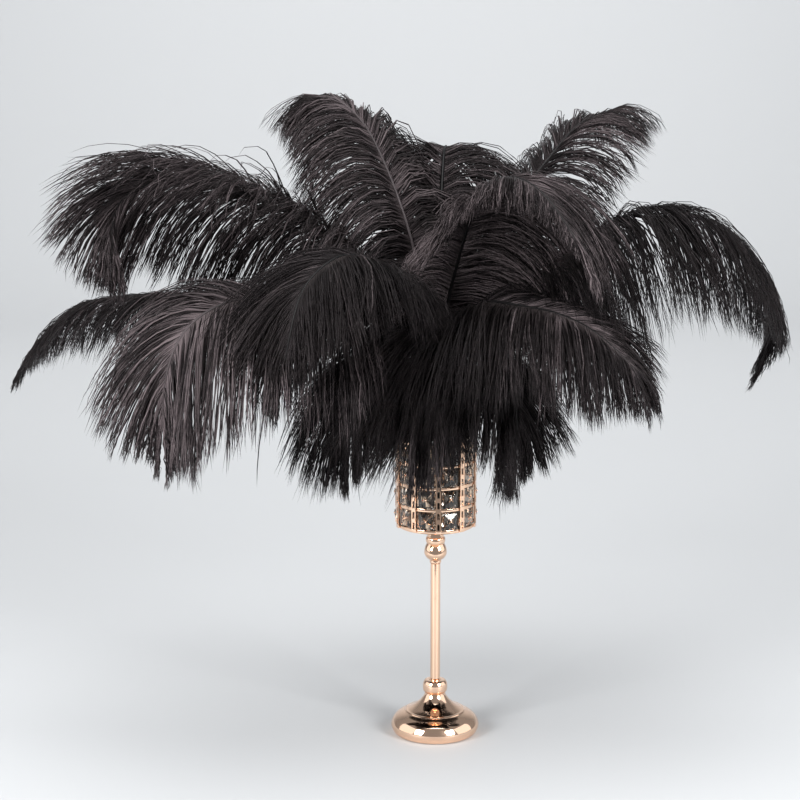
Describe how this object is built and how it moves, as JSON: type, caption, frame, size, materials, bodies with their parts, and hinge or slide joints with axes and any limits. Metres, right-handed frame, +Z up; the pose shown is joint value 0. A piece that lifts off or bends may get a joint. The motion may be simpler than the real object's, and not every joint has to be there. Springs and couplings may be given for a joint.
{
  "type": "ostrich feather bouquet in crystal cup stand",
  "caption": "Bunch of arching black ostrich feathers standing in a slim rose-gold stand whose cup is walled with cross-cut crystals, a table centrepiece.",
  "frame": {"origin": "centre of the foot's underside, on the surface it stands on", "axes": "+Z up along the stand's axis; +X to the viewer's right as the bunch is seen from the front; +Y away from the viewer"},
  "size_m": [0.7877, 0.519, 0.6469],
  "materials": {
    "rose_gold": "mirror-polished rose-gold plating on iron and zinc",
    "crystal": "clear cross-cut crystal glass",
    "plume": "black-brown dyed ostrich plume, loose barbs with a soft sheen"
  },
  "bodies": {
    "root": {"foot": "rose_gold", "stem_tube": "rose_gold", "knop": "rose_gold", "cup_floor": "rose_gold", "cup_ring_1": "rose_gold", "cup_ring_2": "rose_gold", "cup_ring_3": "rose_gold", "cup_ring_4": "rose_gold", "cup_ring_5": "rose_gold", "cup_post_1": "rose_gold", "cup_post_2": "rose_gold", "cup_post_3": "rose_gold", "cup_post_4": "rose_gold", "cup_post_5": "rose_gold", "cup_post_6": "rose_gold", "cup_post_7": "rose_gold", "cup_post_8": "rose_gold", "cup_post_9": "rose_gold", "cup_post_10": "rose_gold", "crystal_column_1": "crystal", "crystal_column_2": "crystal", "crystal_column_3": "crystal", "crystal_column_4": "crystal", "crystal_column_5": "crystal", "crystal_column_6": "crystal", "crystal_column_7": "crystal", "crystal_column_8": "crystal", "crystal_column_9": "crystal", "crystal_column_10": "crystal", "plume_left_high": "plume", "plume_right_high": "plume", "plume_left_low": "plume", "plume_back_left_tall": "plume", "plume_right_back_tall": "plume", "plume_front_left": "plume", "plume_front_right": "plume", "plume_left_front": "plume", "plume_centre_tall": "plume", "plume_back_tall": "plume", "plume_back_left_low": "plume", "plume_back_right_low": "plume", "plume_back_low": "plume", "plume_left_mid": "plume", "plume_right_low": "plume", "plume_front_low": "plume"}
  },
  "joints": []
}
